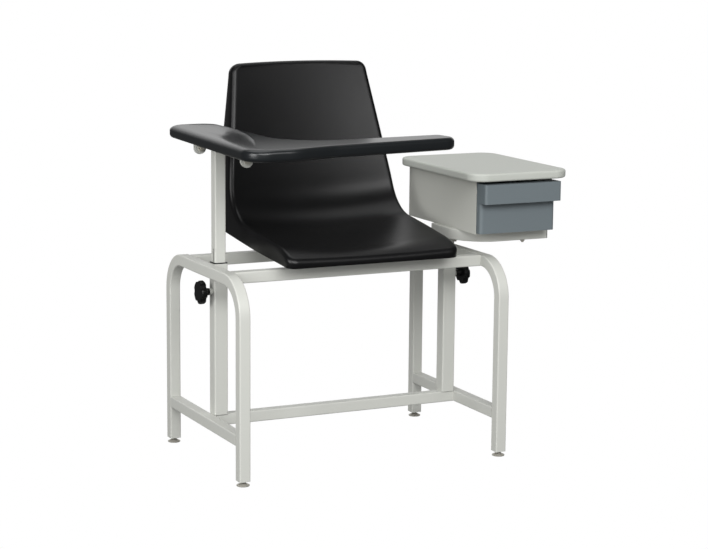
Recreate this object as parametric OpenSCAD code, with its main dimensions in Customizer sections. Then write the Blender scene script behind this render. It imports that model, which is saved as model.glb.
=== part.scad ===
// Phlebotomy chair: a moulded shell seat on a frame of square tube, with a flip-up padded arm on the
// left post and a drawer cabinet on the right post. Both posts slide in sockets and are clamped by knobs.
// Millimetres, +Z up. The sitter looks along -Y. The origin is on the floor under the middle of the
// whole chair.

/* [Frame] */
// Distance between the centres of the two end frames
frame_w = 631; // [590:1:700]
// Distance between the centres of the front and rear legs
frame_d = 416; // [380:1:460]
// Height of the top of the frame above the floor
frame_top = 453; // [430:1:470]
// Outside width of the square frame tube
tube = 25.4; // [22:0.1:28]
// Wall of the square frame tube
tube_wall = 1.6; // [1.2:0.1:2.5]
// Outside corner radius of the square tubes
tube_corner = 2.8; // [2:0.1:4]
// Radius of the bends on the tube's centre line
bend_r = 76.2; // [60:0.1:90]
// Height of the stretchers' centre line above the floor
stretcher_z = 98.6; // [80:0.1:130]

/* [Glides] */
// Gap between the floor and the end of a leg
leg_lift = 10.8; // [10:0.1:20]
// Diameter of a glide's foot
glide_d = 29; // [24:0.5:40]
// Thickness of the rim of a glide's foot
glide_rim = 2.2; // [1.5:0.1:3]
// Diameter of a glide's threaded stem
glide_stem_d = 8; // [6:0.5:10]
// Depth of the threaded insert in the end of a leg
insert_depth = 20; // [14:1:30]

/* [Sockets and clamps] */
// Outside width of the square sockets
socket = 31.75; // [31:0.05:36]
// Wall of the square sockets
socket_wall = 2; // [1.5:0.1:2.2]
// Height of the clamp screws above the floor
clamp_z = 390; // [360:1:400]
// Diameter of the clamp screws
clamp_d = 8; // [6:0.5:10]
// Diameter of the five-lobed knobs
knob_d = 53; // [45:1:60]
// Thickness of a knob's head
knob_t = 14; // [10:0.5:18]
// Length of a knob's hub
knob_hub_l = 12; // [9:0.5:14]
// Thickness of the bushing flange on top of a socket
bushing_flange = 2.5; // [1.5:0.1:4]
// Length of the bushing inside a socket
bushing_l = 40; // [30:1:48]

/* [Seat] */
// Half of the seat's width at its front corners
seat_front_half = 206; // [190:0.5:209]
// Half of the seat's width at the hips
seat_half = 207; // [200:0.5:209]
// Half of the back's width at its top corners
back_top_half = 165; // [140:0.5:180]
// Slope of the seat in degrees
seat_slope = 7; // [4:0.5:10]
// Angle of the back from level in degrees
back_slope = 75.5; // [72:0.5:80]
// Length of the straight part of the seat
seat_flat_l = 181; // [170:1:200]
// Length of the straight part of the back
back_flat_l = 282; // [240:1:320]
// Radius between the seat and the back
hip_r = 96; // [75:1:105]
// Wall of the seat shell
shell_wall = 3.6; // [3:0.1:5]
// Radius of the folded edge all round the shell
fold_r = 8; // [7:0.5:10]
// Radius of the shell's corners
shell_corner_r = 10; // [8:1:26]
// Depth of the dish across the hips
dish_hip = 26; // [18:1:32]

/* [Arm] */
// Height of the arm pad's top above the floor
arm_top = 740; // [725:1:770]
// Thickness of the arm pad
pad_t = 24; // [20:0.5:28]
// Radius of the arm pad's edges
pad_edge_r = 9; // [6:0.5:10]
// Depth of the trough for the forearm
trough_depth = 7; // [4:0.5:9]
// Width of the trough for the forearm
trough_w = 104; // [80:1:106]
// Thickness of the steel plate under the arm pad
arm_plate_t = 3; // [2:0.1:4]
// Diameter of the two hinge bolts
pivot_d = 8; // [6:0.5:8.5]
// Width of the slot in the arm post
slot_w = 6.5; // [6.1:0.1:7.5]

/* [Cabinet] */
// Width of the cabinet's steel body
cabinet_w = 198; // [180:1:220]
// Depth of the cabinet's steel body
cabinet_d = 329; // [300:1:340]
// Height of the cabinet's steel body
cabinet_h = 123.4; // [115:0.1:140]
// Sheet thickness of the cabinet's steel body
sheet = 1.2; // [0.8:0.1:2]
// Width of the cabinet's top
top_w = 254; // [246:1:280]
// Depth of the cabinet's top
top_d = 378.6; // [370:0.1:400]
// Thickness of the cabinet's top
top_t = 19; // [16:0.5:25]
// Corner radius of the cabinet's top, seen from above
top_corner_r = 56; // [40:1:70]
// Gap between the arm post's bushing and the cabinet's support at its lowest
cabinet_lift = 22; // [10:1:60]
// Wall of the moulded drawer
drawer_wall = 2.6; // [2:0.1:3.5]
// How far the drawer's face stands in front of the cabinet
drawer_face_t = 18.2; // [14:0.1:22]
// How far the drawer's pull stands in front of its face
pull_reach = 26; // [20:0.5:30]
// Height of the drawer's pull
pull_h = 44.2; // [36:0.1:50]

/* [Hidden] */

frame_grey = "#c9c9c2";
top_grey = "#b9bcb6";
slate = "#6e767a";
shell_black = "#1b1b1c";
pad_black = "#2a2c2e";
knob_black = "#151515";
board_brown = "#8a6a48";
zinc = "#a8a59c";
nylon = "#e4e2d8";

// One overrun serves every cut, and one fine value every round
cut = 1;
fine = 48;
slip = 0.2;
thread_slip = 0.05;
weld = 0.01;

half_w = frame_w / 2;
half_d = frame_d / 2;
rail_y = half_d - bend_r - tube / 2;
stretcher_top = stretcher_z + tube / 2;
post_x = half_w - tube / 2 - socket / 2;
socket_inner = socket - 2 * socket_wall;
tube_inner = tube - 2 * tube_wall;

// Hexagon fasteners: across flats and height of head or nut
m8_flats = 13;
m8_nut_h = 6.5;
m8_head_h = 5.3;
m6_flats = 10;
m6_head_h = 4;
bolt_end = 3;

module rounded_square(size, r) {
    square([size - 2 * r, size], center = true);
    square([size, size - 2 * r], center = true);
    for (sx = [-1, 1], sy = [-1, 1])
        translate([sx * (size / 2 - r), sy * (size / 2 - r)])
            circle(r = r, $fn = fine);
}

module tube_section(size, wall) {
    difference() {
        rounded_square(size, tube_corner);
        rounded_square(size - 2 * wall, tube_corner - wall / 2);
    }
}

module tube_up(size, wall, length) {
    linear_extrude(height = length) tube_section(size, wall);
}

// A quarter bend that starts at the origin going up and ends going along +Y
module tube_bend(size, wall) {
    translate([0, bend_r, 0])
        rotate([90, 0, 90])
            rotate([0, 0, 90])
                rotate_extrude(angle = 90, $fn = 2 * fine)
                    translate([bend_r, 0])
                        tube_section(size, wall);
}

module hexagon(flats, h) {
    cylinder(d = flats / cos(30), h = h, $fn = 6);
}

// End frame, stretchers and rails

leg_l = frame_top - tube / 2 - bend_r - leg_lift;

module end_frame(side) {
    color(frame_grey)
        translate([side * half_w - origin_x, -origin_y, 0]) {
            for (turn = [0, 180])
                rotate([0, 0, turn])
                    translate([0, -half_d, leg_lift]) {
                        tube_up(tube, tube_wall, leg_l);
                        translate([0, 0, leg_l]) tube_bend(tube, tube_wall);
                    }
            translate([0, half_d - bend_r, frame_top - tube / 2])
                rotate([90, 0, 0])
                    tube_up(tube, tube_wall, frame_d - 2 * bend_r);
        }
}

module side_stretcher(side) {
    color(frame_grey)
        translate([side * half_w - origin_x, half_d - tube / 2 - origin_y, stretcher_z])
            rotate([90, 0, 0])
                tube_up(tube, tube_wall, frame_d - tube);
}

// A tube between the two end frames, at its own place front to back and height
module cross_tube(y, z) {
    color(frame_grey)
        translate([-half_w + tube / 2 - origin_x, y - origin_y, z])
            rotate([90, 0, 90])
                tube_up(tube, tube_wall, frame_w - tube);
}

// Flat bars over the two rails, which carry the seat
seat_bar_w = 25;
seat_bar_t = 4;
seat_bar_x = 75;
seat_bar_top = frame_top + seat_bar_t;
seat_bolt_margin = 29;
seat_bolt_rear_share = 0.45;
seat_bolt_reach = rail_y - seat_bolt_margin;
seat_bolt_y = [-seat_bolt_reach, seat_bolt_rear_share * seat_bolt_reach];
seat_bolt_d = 6;

module seat_bars() {
    color(frame_grey)
        for (side = [-1, 1])
            translate([side * seat_bar_x - origin_x, -origin_y, frame_top])
                difference() {
                    translate([-seat_bar_w / 2, -rail_y - tube / 2, 0])
                        cube([seat_bar_w, 2 * rail_y + tube, seat_bar_t]);
                    for (y = seat_bolt_y)
                        translate([0, y, -cut])
                            cylinder(d = seat_bolt_d + 2 * slip, h = seat_bar_t + 2 * cut, $fn = fine);
                }
}

// Sockets, their clamp nuts and bushings

socket_h = frame_top - stretcher_top;

module socket_tube(side) {
    color(frame_grey)
        translate([side * post_x - origin_x, -origin_y, stretcher_top])
            difference() {
                tube_up(socket, socket_wall, socket_h);
                translate([side * (socket / 2 - socket_wall - cut), 0, clamp_z - stretcher_top])
                    rotate([0, side * 90, 0])
                        cylinder(d = clamp_d + 2 * slip, h = socket_wall + 2 * cut, $fn = fine);
            }
}

module clamp_nut(side) {
    color(frame_grey)
        translate([side * (post_x + socket / 2) - origin_x, -origin_y, clamp_z])
            rotate([0, side * 90, 0])
                difference() {
                    hexagon(m8_flats, m8_nut_h);
                    translate([0, 0, -cut])
                        cylinder(d = clamp_d + 2 * thread_slip, h = m8_nut_h + 2 * cut, $fn = fine);
                }
}

module bushing(side) {
    color(knob_black)
        translate([side * post_x - origin_x, -origin_y, frame_top])
            difference() {
                union() {
                    linear_extrude(height = bushing_flange)
                        rounded_square(socket, tube_corner);
                    translate([0, 0, -bushing_l])
                        linear_extrude(height = bushing_l + bushing_flange / 2)
                            rounded_square(socket_inner - slip, tube_corner - socket_wall / 2);
                }
                translate([0, 0, -bushing_l - cut])
                    linear_extrude(height = bushing_l + bushing_flange + 2 * cut)
                        rounded_square(tube + 2 * slip, tube_corner);
            }
}

// Threaded inserts in the legs, and the glides that screw into them

module leg_inserts() {
    color(knob_black)
        for (sx = [-1, 1], sy = [-1, 1])
            translate([sx * half_w - origin_x, sy * half_d - origin_y, leg_lift])
                difference() {
                    linear_extrude(height = insert_depth)
                        rounded_square(tube_inner - slip, tube_corner - tube_wall / 2);
                    translate([0, 0, -cut])
                        cylinder(d = glide_stem_d + 2 * thread_slip, h = insert_depth + 2 * cut, $fn = fine);
                }
}

glide_hub_d = glide_stem_d + 3;
glide_dome_share = 0.58;
glide_dome_h = leg_lift * glide_dome_share;
glide_edge = glide_rim / 2;

module glide(sx, sy) {
    color(zinc)
        translate([sx * half_w - origin_x, sy * half_d - origin_y, 0])
            rotate_extrude($fn = fine)
                polygon([[0, 0], [glide_d / 2 - glide_edge, 0], [glide_d / 2, glide_edge],
                    [glide_d / 2, glide_rim], [glide_hub_d / 2 + glide_edge, glide_dome_h],
                    [glide_hub_d / 2, glide_dome_h + glide_edge], [glide_hub_d / 2, leg_lift],
                    [glide_stem_d / 2, leg_lift], [glide_stem_d / 2, leg_lift + insert_depth],
                    [0, leg_lift + insert_depth]]);
}

// Clamp screws with a guide point that runs in the post's slot, and their knobs

guide_point_d = slot_w - 2 * slip;
guide_point_l = tube_wall;
knob_gap = 1;
knob_hub_x = socket / 2 + m8_nut_h + knob_gap;
screw_in_knob = knob_hub_l + knob_t / 2;
knob_hub_d = 18;
knob_edge_r = 4;
knob_lobes = 5;
scallop_share = 0.18;
scallop_pitch_share = 0.56;
scallop_r = knob_d * scallop_share;
scallop_pitch_r = knob_d * scallop_pitch_share;

module clamp_screw(side) {
    color(zinc)
        translate([side * (post_x + tube / 2) - origin_x, -origin_y, clamp_z])
            rotate([0, side * 90, 0]) {
                cylinder(d = clamp_d, h = knob_hub_x - tube / 2 + screw_in_knob, $fn = fine);
                translate([0, 0, -guide_point_l])
                    cylinder(d = guide_point_d, h = guide_point_l + knob_gap, $fn = fine);
            }
}

// Scalloped disc with a rolled edge, a hub towards the socket and a bore for the screw
module knob(side) {
    color(knob_black)
        translate([side * (post_x + knob_hub_x) - origin_x, -origin_y, clamp_z])
            rotate([0, side * 90, 0])
                difference() {
                    union() {
                        cylinder(d1 = knob_hub_d - 2 * knob_gap, d2 = knob_hub_d, h = knob_hub_l, $fn = fine);
                        intersection() {
                            rotate_extrude($fn = fine) knob_profile();
                            translate([0, 0, knob_hub_l - cut])
                                linear_extrude(height = knob_t + 2 * cut) knob_outline();
                        }
                    }
                    translate([0, 0, -cut])
                        cylinder(d = clamp_d + 2 * thread_slip, h = screw_in_knob + cut, $fn = fine);
                }
}

module knob_profile() {
    translate([0, knob_hub_l]) {
        square([knob_d / 2 - knob_edge_r, knob_t]);
        translate([0, knob_edge_r]) square([knob_d / 2, knob_t - 2 * knob_edge_r]);
        for (z = [knob_edge_r, knob_t - knob_edge_r])
            translate([knob_d / 2 - knob_edge_r, z]) circle(r = knob_edge_r, $fn = fine);
    }
}

module knob_outline() {
    difference() {
        circle(d = knob_d, $fn = fine);
        for (i = [0:knob_lobes - 1])
            rotate([0, 0, i * 360 / knob_lobes + 90])
                translate([scallop_pitch_r, 0]) circle(r = scallop_r, $fn = fine);
    }
}

// Seat shell. Its line runs from the front edge over the seat, round the hips and up the back: a front
// arc, a straight, the hip arc and a straight. s is the way along that line and a the share across it.

front_setback = 18;
front_rise = 33;
front_slope_more = 22;
front_y = -half_d + front_setback;
front_z = frame_top + front_rise;
front_slope = seat_slope + front_slope_more;
front_r = 160;
top_arch = 5;
arch_power = 4;
dish_front = 3;
dish_seat = 15;
dish_back = 19;
dish_top = 8;
rim_rise = 9;
rim_slope = 5.4;
rim_back_setback = 58;
rim_back_rise = 47;
rim_back_slope = 77.7;
rim_front = frame_top + rim_rise;
rim_back_y = half_d - rim_back_setback;
rim_back_z = frame_top + rim_back_rise;

front_arc_l = front_r * (front_slope - seat_slope) * PI / 180;
hip_arc_l = hip_r * (back_slope - seat_slope) * PI / 180;
s_seat = front_arc_l;
s_hip = s_seat + seat_flat_l;
s_back = s_hip + hip_arc_l;
s_top = s_back + back_flat_l;

function along(angle) = [cos(angle), sin(angle)];
function away(angle) = [sin(angle), -cos(angle)];
function cross_2d(u, v) = u[0] * v[1] - u[1] * v[0];

function slope_at(s) =
    s < s_seat ? front_slope + (seat_slope - front_slope) * max(s, 0) / front_arc_l
    : s < s_hip ? seat_slope
    : s < s_back ? seat_slope + (back_slope - seat_slope) * (s - s_hip) / hip_arc_l
    : back_slope;

front_point = [front_y, front_z];
seat_point = front_point + front_r * (away(front_slope) - away(seat_slope));
hip_point = seat_point + seat_flat_l * along(seat_slope);
back_point = hip_point + hip_r * (away(back_slope) - away(seat_slope));

// Place in the Y-Z plane of the shell's edge line
function edge_at(s) =
    s < 0 ? front_point + s * along(front_slope)
    : s < s_seat ? front_point + front_r * (away(front_slope) - away(slope_at(s)))
    : s < s_hip ? seat_point + (s - s_seat) * along(seat_slope)
    : s < s_back ? hip_point + hip_r * (away(slope_at(s)) - away(seat_slope))
    : back_point + (s - s_back) * along(back_slope);

function half_at(s) = lookup(s, [[0, seat_front_half], [s_seat + seat_flat_l / 2, seat_half],
    [s_back, seat_half], [s_top, back_top_half]]);

function dish_at(s) = lookup(s, [[0, dish_front], [s_seat, dish_seat], [s_hip, (dish_seat + dish_hip) / 2],
    [s_hip + hip_arc_l / 2, dish_hip], [s_back + hip_r / 2, dish_back], [s_top, dish_top]]);

// The turned-down skirt points straight away from the seat, also where the front rolls down
function skirt_angle(s) = s < s_hip ? seat_slope : slope_at(s);

// Way from a point along the skirt to the nearer of the two straight rims, under the seat or behind the back
function reach(p, k, q, angle) =
    let (t = cross_2d(q - p, along(angle)) / cross_2d(k, along(angle)))
    t > 0 ? t : s_top;
function skirt_at(p, k) = min(reach(p, k, [front_y, rim_front], rim_slope),
    reach(p, k, [rim_back_y, rim_back_z], rim_back_slope));

corner_steps = 4;
across_steps = 12;
fold_steps = 3;
seat_shares = [0.12, 0.3, 0.48, 0.66, 0.84];
hip_shares = [0, 0.16, 0.33, 0.5, 0.67, 0.84, 1];
back_shares = [0.14, 0.3, 0.46, 0.62, 0.78, 0.9];

corner_s = [for (i = [0:corner_steps]) shell_corner_r * (1 - cos(90 * i / corner_steps))];
stations = concat(corner_s, [for (t = [0.62, 1]) s_seat * t],
    [for (t = seat_shares) s_seat + t * seat_flat_l],
    [for (t = hip_shares) s_hip + t * hip_arc_l],
    [for (t = back_shares) s_back + t * (back_flat_l - shell_corner_r)],
    [for (i = [corner_steps:-1:0]) s_top - corner_s[i]]);
last_station = len(stations) - 1;

// How much the corner rounding takes off the half width at s
function corner_loss(s) =
    let (e = min(s, s_top - s))
    e >= shell_corner_r ? 0
    : shell_corner_r - sqrt(max(0, pow(shell_corner_r, 2) - pow(shell_corner_r - e, 2)));

// Flat developed place [x, s] of a grid point, and its place in space pushed away by depth
function flat_at(i, j) =
    let (a = 2 * j / across_steps - 1, s = stations[i])
    [a * (half_at(s) - fold_r - corner_loss(s)), s + top_arch * (1 - a * a) * pow(s / s_top, arch_power)];
function shell_at(i, j, wall) =
    let (a = 2 * j / across_steps - 1, f = flat_at(i, j),
        p = edge_at(f[1]) + (dish_at(stations[i]) * (1 - a * a) + wall) * away(slope_at(f[1])))
    [f[0], p[0], p[1]];

// The grid's border as a closed loop, anticlockwise seen from above
loop = concat([for (j = [0:across_steps]) [0, j]],
    [for (i = [1:last_station]) [i, across_steps]],
    [for (j = [across_steps - 1:-1:0]) [last_station, j]],
    [for (i = [last_station - 1:-1:1]) [i, 0]]);
loop_n = len(loop);

function outward(k) =
    let (p = loop[(k + loop_n - 1) % loop_n], q = loop[(k + 1) % loop_n],
        t = flat_at(q[0], q[1]) - flat_at(p[0], p[1]))
    [t[1], -t[0]] / norm(t);

// Points of the folded edge: r is the fold's radius at this face, turn 0 to 90 degrees round it
function fold_at(k, r, turn) =
    let (c = loop[k], f = flat_at(c[0], c[1]), o = outward(k),
        a = 2 * c[1] / across_steps - 1, h = slope_at(f[1]),
        p = edge_at(f[1]) + dish_at(stations[c[0]]) * (1 - a * a) * away(h),
        down = (fold_r - r) + r * (1 - cos(turn)),
        out = r * sin(turn),
        q = p + down * away(skirt_angle(f[1])) + out * o[1] * along(h))
    [f[0] + out * o[0], q[0], q[1]];

function rim_at(k, r) =
    let (c = loop[k], f = flat_at(c[0], c[1]), v = away(skirt_angle(f[1])), p = fold_at(k, r, 90),
        q = [p[1], p[2]] + skirt_at([p[1], p[2]], v) * v)
    [p[0], q[0], q[1]];

grid = [for (i = [0:last_station], j = [0:across_steps]) [i, j]];
grid_n = len(grid);
inner_r = fold_r - shell_wall;
outer_grid = [for (g = grid) shell_at(g[0], g[1], 0)];
inner_grid = [for (g = grid) shell_at(g[0], g[1], shell_wall)];
outer_rings = concat(
    [for (n = [1:fold_steps], k = [0:loop_n - 1]) fold_at(k, fold_r, 90 * n / fold_steps)],
    [for (k = [0:loop_n - 1]) rim_at(k, fold_r)]);
inner_rings = concat([for (k = [0:loop_n - 1]) rim_at(k, inner_r)],
    [for (n = [fold_steps:-1:1], k = [0:loop_n - 1]) fold_at(k, inner_r, 90 * n / fold_steps)]);
ring_count = 2 * fold_steps + 2;

// Index of point k of ring n: ring 0 is the outer grid's border and the last one the inner grid's
function border(k) = loop[k][0] * (across_steps + 1) + loop[k][1];
function ring_point(n, k) =
    n == 0 ? border(k % loop_n)
    : n > ring_count ? grid_n + border(k % loop_n)
    : 2 * grid_n + (n - 1) * loop_n + k % loop_n;

shell_faces = concat(
    [for (i = [0:last_station - 1], j = [0:across_steps - 1])
        let (p = i * (across_steps + 1) + j, q = p + across_steps + 1)
        each [[p, q, q + 1], [p, q + 1, p + 1]]],
    [for (i = [0:last_station - 1], j = [0:across_steps - 1])
        let (p = grid_n + i * (across_steps + 1) + j, q = p + across_steps + 1)
        each [[p, q + 1, q], [p, p + 1, q + 1]]],
    [for (n = [0:ring_count], k = [0:loop_n - 1])
        each [[ring_point(n + 1, k), ring_point(n, k), ring_point(n, k + 1)],
            [ring_point(n + 1, k), ring_point(n, k + 1), ring_point(n + 1, k + 1)]]]);

// Screw bosses under the seat: their tops end inside the shell's wall
boss_d = 17;
boss_bore_depth = 24;
function pan_z(x, y) =
    let (s = s_seat + (y - seat_point[0]) / cos(seat_slope), a = x / (half_at(s) - fold_r))
    edge_at(s)[1] - dish_at(s) * (1 - a * a) * cos(seat_slope);

module seat_shell() {
    color(shell_black)
        translate([-origin_x, -origin_y, 0])
            difference() {
                union() {
                    polyhedron(concat(outer_grid, inner_grid, outer_rings, inner_rings), shell_faces);
                    for (side = [-1, 1], y = seat_bolt_y)
                        translate([side * seat_bar_x, y, seat_bar_top])
                            cylinder(d = boss_d, $fn = fine,
                                h = pan_z(seat_bar_x, y) - shell_wall / 2 - seat_bar_top);
                }
                for (side = [-1, 1], y = seat_bolt_y)
                    translate([side * seat_bar_x, y, seat_bar_top - cut])
                        cylinder(d = seat_bolt_d + 2 * thread_slip, h = boss_bore_depth + cut, $fn = fine);
            }
}

washer_t = 1.6;
seat_washer_d = 16;
seat_bolt_grip = seat_bar_t + washer_t;

module seat_washers() {
    color(zinc)
        for (side = [-1, 1], y = seat_bolt_y)
            translate([side * seat_bar_x - origin_x, y - origin_y, frame_top - washer_t])
                difference() {
                    cylinder(d = seat_washer_d, h = washer_t, $fn = fine);
                    translate([0, 0, -cut])
                        cylinder(d = seat_bolt_d + 2 * slip, h = washer_t + 2 * cut, $fn = fine);
                }
}

module seat_bolts() {
    color(zinc)
        for (side = [-1, 1], y = seat_bolt_y)
            translate([side * seat_bar_x - origin_x, y - origin_y, frame_top - washer_t]) {
                cylinder(d = seat_bolt_d, h = seat_bolt_grip + boss_bore_depth - bolt_end, $fn = fine);
                translate([0, 0, -m6_head_h]) hexagon(m6_flats, m6_head_h);
            }
}

// Outlines with rounded corners, and slabs with rolled edges

function unit(v) = v / norm(v);
function wrap(d) = d - 360 * round(d / 360);
function corner_arc(p, q, s, r, n) =
    let (a = unit(p - q), b = unit(s - q), half = acos(a * b) / 2,
        c = q + unit(a + b) * (r / sin(half)),
        u = q + a * (r / tan(half)) - c, v = q + b * (r / tan(half)) - c,
        start = atan2(u[1], u[0]), turn = wrap(atan2(v[1], v[0]) - start))
    [for (i = [0:n]) c + r * along(start + turn * i / n)];
function rounded_outline(pts, radii, n) =
    let (m = len(pts))
    [for (i = [0:m - 1]) each corner_arc(pts[(i + m - 1) % m], pts[i], pts[(i + 1) % m], radii[i], n)];

function inset_ring(pts, inset, z) =
    let (m = len(pts))
    [for (i = [0:m - 1])
        let (t = unit(pts[(i + 1) % m] - pts[(i + m - 1) % m]), p = pts[i] + inset * [-t[1], t[0]])
        [p[0], p[1], z]];

// A slab over an anticlockwise outline, from z = 0 up to h, its edges rolled to radius r in n steps.
// Its two flat faces fan out from hub, a place in the plan that sees the whole outline.
module rolled_slab(pts, h, r, n, hub) {
    m = len(pts);
    rings = concat([for (k = [0:n]) [r * (1 - sin(90 * k / n)), r * (1 - cos(90 * k / n))]],
        [for (k = [n:-1:0]) [r * (1 - sin(90 * k / n)), h - r * (1 - cos(90 * k / n))]]);
    last = len(rings) - 1;
    hub_at = (last + 1) * m;
    points = concat([for (ring = rings) each inset_ring(pts, ring[0], ring[1])],
        [[hub[0], hub[1], 0], [hub[0], hub[1], h]]);
    faces = concat([for (i = [0:m - 1]) [i, (i + 1) % m, hub_at]],
        [for (i = [0:m - 1]) [last * m + (i + 1) % m, last * m + i, hub_at + 1]],
        [for (k = [0:last - 1], i = [0:m - 1])
            let (p = k * m + i, q = k * m + (i + 1) % m)
            each [[p, p + m, q + m], [p, q + m, q]]]);
    polyhedron(points, faces);
}

// Arm: the pad is an L whose long leg lies over the post and whose short leg crosses in front

pad_bottom = arm_top - pad_t;
plate_bottom = pad_bottom - arm_plate_t;
pad_past_post = 47;
pad_before_post = 76;
pad_past_leg = 6;
pad_ahead = 138;
pad_flare = 24;
pad_front_flat = 40;
pad_bend_x = 137;
pad_bend_y = 30;
pad_tip = 172;
pad_tip_rise = 74;
pad_tip_back = 14;
pad_tip_lean = 12;
pad_cross_gap = 12;
pad_left = post_x + pad_past_post;
pad_inner = post_x - pad_before_post;
pad_rear = half_d + pad_past_leg;
pad_front = half_d + pad_ahead;
pad_cross_back = half_d + pad_cross_gap;
pad_points = [[-pad_left, pad_rear], [-pad_left - pad_flare, -pad_front],
    [-post_x + pad_front_flat, -pad_front], [-post_x + pad_bend_x, pad_bend_y - pad_front],
    [pad_tip, pad_tip_rise - pad_front], [pad_tip - pad_tip_lean, pad_tip_back - half_d],
    [-pad_inner, -pad_cross_back], [-pad_inner, pad_rear]];
pad_corner_r = 48;
pad_front_r = 120;
pad_tip_r = 34;
pad_tip_back_r = 18;
pad_cross_r = 110;
pad_rear_r = 42;
pad_radii = [pad_rear_r, pad_corner_r, pad_front_r, pad_front_r, pad_tip_r, pad_tip_back_r, pad_cross_r,
    pad_rear_r];
pad_steps = 6;
pad_outline = rounded_outline(pad_points, pad_radii, pad_steps);
pad_hub = [-post_x, -(pad_front + pad_cross_back) / 2];
pad_screw_d = 5;
pad_screw_l = 9;
pan_head_d = 9;
pan_head_h = 2.4;

// Where screws enter the pad from below, and how far under the pad their heads sit
ear_t = 4;
ear_flange = 24;
ear_flange_t = 3;
ear_half = 14;
bridge_front_setback = 188;
bridge_rear_setback = 106;
bridge_front = pad_front - bridge_front_setback;
bridge_rear = pad_rear - bridge_rear_setback;
pivot_washer_t = 1;
ear_screw_y = ear_t + pivot_washer_t + ear_flange / 2;
screw_margin = 34;
screw_rear_y = pad_front / 4;
screw_front_y = pad_front - 2 * screw_margin;
plate_screw_x = 20;
plate_screws = [[-post_x - plate_screw_x, -screw_rear_y], [-post_x + plate_screw_x, -screw_rear_y],
    [-pad_left + screw_margin, -screw_front_y], [-pad_inner, -screw_front_y],
    [-pad_inner + 2 * screw_margin, -screw_front_y]];
ear_screws = [for (sx = [-1, 1], y = [-bridge_front - ear_screw_y, bridge_rear + ear_screw_y])
    [-post_x + sx * (ear_half - pan_head_d / 2), y]];
pad_screws = concat([for (p = plate_screws) [p[0], p[1], arm_plate_t]],
    [for (p = ear_screws) [p[0], p[1], arm_plate_t + ear_flange_t]]);

// The trough follows a bent centre line from the rear to the front corner. Its half width and its depth
// are shares of their largest values, and it is a shallow arc across.
trough_shift = 16;
trough_bend = 50;
trough_corner = 46;
trough_line = [[-post_x + trough_shift, pad_rear - trough_corner / 2], [-post_x + trough_shift, -trough_bend],
    [-pad_left - pad_flare + trough_corner / 2, trough_corner - pad_front]];
trough_widths = [[0, 0.45], [0.1, 0.85], [0.3, 1], [0.5, 0.88], [0.75, 0.58], [0.9, 0.34], [1, 0.1]];
trough_depths = [[0, 0.3], [0.12, 0.85], [0.35, 1], [0.7, 0.85], [0.9, 0.5], [1, 0.15]];
trough_along = 16;
trough_across = 8;
trough_over = 0.4;

function trough_centre(t) =
    pow(1 - t, 2) * trough_line[0] + 2 * t * (1 - t) * trough_line[1] + t * t * trough_line[2];
function trough_point(t, u) =
    let (v = unit((1 - t) * (trough_line[1] - trough_line[0]) + t * (trough_line[2] - trough_line[1])),
        p = trough_centre(t) + u * trough_w / 2 * lookup(t, trough_widths) * [-v[1], v[0]])
    [p[0], p[1],
        arm_top + trough_over - (trough_depth * lookup(t, trough_depths) + trough_over) * (1 - u * u)];

module trough() {
    row = trough_across + 1;
    count = (trough_along + 1) * row;
    under = [for (i = [0:trough_along], j = [0:trough_across])
        trough_point(i / trough_along, 2 * j / trough_across - 1)];
    over = [for (p = under) [p[0], p[1], arm_top + trough_over + cut]];
    edge = concat([for (j = [0:trough_across]) j],
        [for (i = [1:trough_along]) i * row + trough_across],
        [for (j = [trough_across - 1:-1:0]) trough_along * row + j],
        [for (i = [trough_along - 1:-1:1]) i * row]);
    m = len(edge);
    faces = concat(
        [for (i = [0:trough_along - 1], j = [0:trough_across - 1])
            let (p = i * row + j)
            each [[p, p + row, p + row + 1], [p, p + row + 1, p + 1]]],
        [[for (e = edge) count + e]],
        [for (k = [0:m - 1])
            [edge[k], edge[(k + 1) % m], count + edge[(k + 1) % m], count + edge[k]]]);
    polyhedron(concat(under, over), faces);
}

module arm_pad() {
    color(pad_black)
        translate([-origin_x, -origin_y, 0])
            difference() {
                translate([0, 0, pad_bottom]) rolled_slab(pad_outline, pad_t, pad_edge_r, 3, pad_hub);
                trough();
                translate([0, 0, pad_bottom - cut]) linear_extrude(height = board_t + cut)
                    inset_shape(pad_outline, board_inset);
            }
}

// Board let into the pad from below, which takes the screws
board_t = 9;
board_inset = 15;

module inset_shape(pts, inset) {
    polygon([for (p = inset_ring(pts, inset, 0)) [p[0], p[1]]]);
}

module pad_board() {
    color(board_brown)
        translate([-origin_x, -origin_y, pad_bottom])
            difference() {
                linear_extrude(height = board_t) inset_shape(pad_outline, board_inset + slip);
                for (p = pad_screws)
                    translate([p[0], p[1], -cut])
                        cylinder(d = pad_screw_d + 2 * thread_slip, h = board_t + 2 * cut, $fn = fine);
            }
}

// Steel plate under the pad, set back from its edges: wide under the corner, narrow towards the rear ear
plate_setback = 38;
plate_back_gap = 8;
plate_rear_l = ear_screw_y + ear_flange / 2;
plate_rear = bridge_rear + plate_rear_l;
plate_wide_y = pad_front / 8;
plate_arm = 130;
plate_rear_half = 30;
plate_left = pad_left + pad_flare - plate_setback;
plate_front = pad_front - plate_setback;
plate_points = [[-post_x - plate_rear_half, plate_rear], [-post_x - plate_rear_half, -plate_wide_y],
    [-plate_left, -pad_front / 2], [-plate_left, plate_setback - plate_front],
    [-plate_left + pad_flare, -plate_front], [-pad_inner, -plate_front],
    [-pad_inner + plate_arm, pad_bend_y - plate_front],
    [-pad_inner + plate_arm, -pad_cross_back - 3 * plate_back_gap],
    [-post_x + plate_rear_half, -pad_cross_back - plate_back_gap], [-post_x + plate_rear_half, plate_rear]];

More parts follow.
